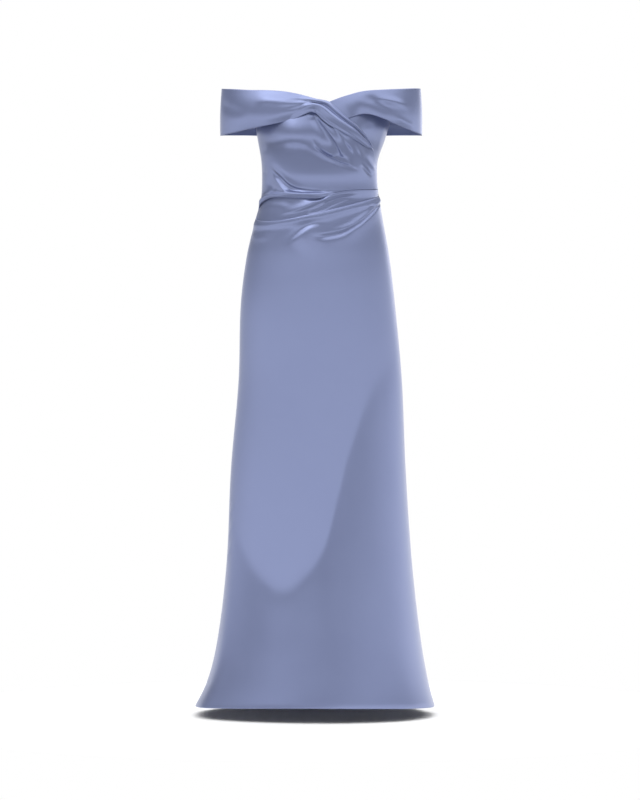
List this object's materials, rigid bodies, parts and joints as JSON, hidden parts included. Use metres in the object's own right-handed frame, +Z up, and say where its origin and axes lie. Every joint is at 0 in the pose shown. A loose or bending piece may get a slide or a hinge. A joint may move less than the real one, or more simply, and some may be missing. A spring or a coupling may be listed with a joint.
{
  "type": "off-shoulder dress",
  "caption": "Floor-length off-shoulder satin dress in its worn shape: folded collar round both arms, twisted neckline, draped waist, flared skirt and back zip.",
  "frame": {"origin": "the wearer's axis at the narrowest part of the waist, where the dress is held up by the body in it", "axes": "+Z up, the front of the dress faces -Y, +X is on the right when the front is looked at"},
  "size_m": [0.5594, 0.5035, 1.4563],
  "materials": {
    "satin": "dusty blue satin with a soft, broad sheen",
    "zip_metal": "enamelled to match the satin"
  },
  "bodies": {
    "dress": {"bodice_front": "satin", "cup_right": "satin", "waist_panel": "satin", "skirt_front": "satin", "bodice_back_left": "satin", "bodice_back_right": "satin", "skirt_back_left": "satin", "skirt_back_right": "satin", "collar_front_left": "satin", "collar_front_right": "satin", "collar_back_left": "satin", "collar_back_right": "satin", "zip_slider": "zip_metal"},
    "zip_pull": {"zip_pull": "zip_metal"}
  },
  "joints": [
    {"name": "zip_pull_swing", "type": "hinge", "parent": "dress", "child": "zip_pull", "pos_m": [0, 0.09873, 0.19], "axis": [1, 0, 0], "range_deg": [0, 170]}
  ]
}
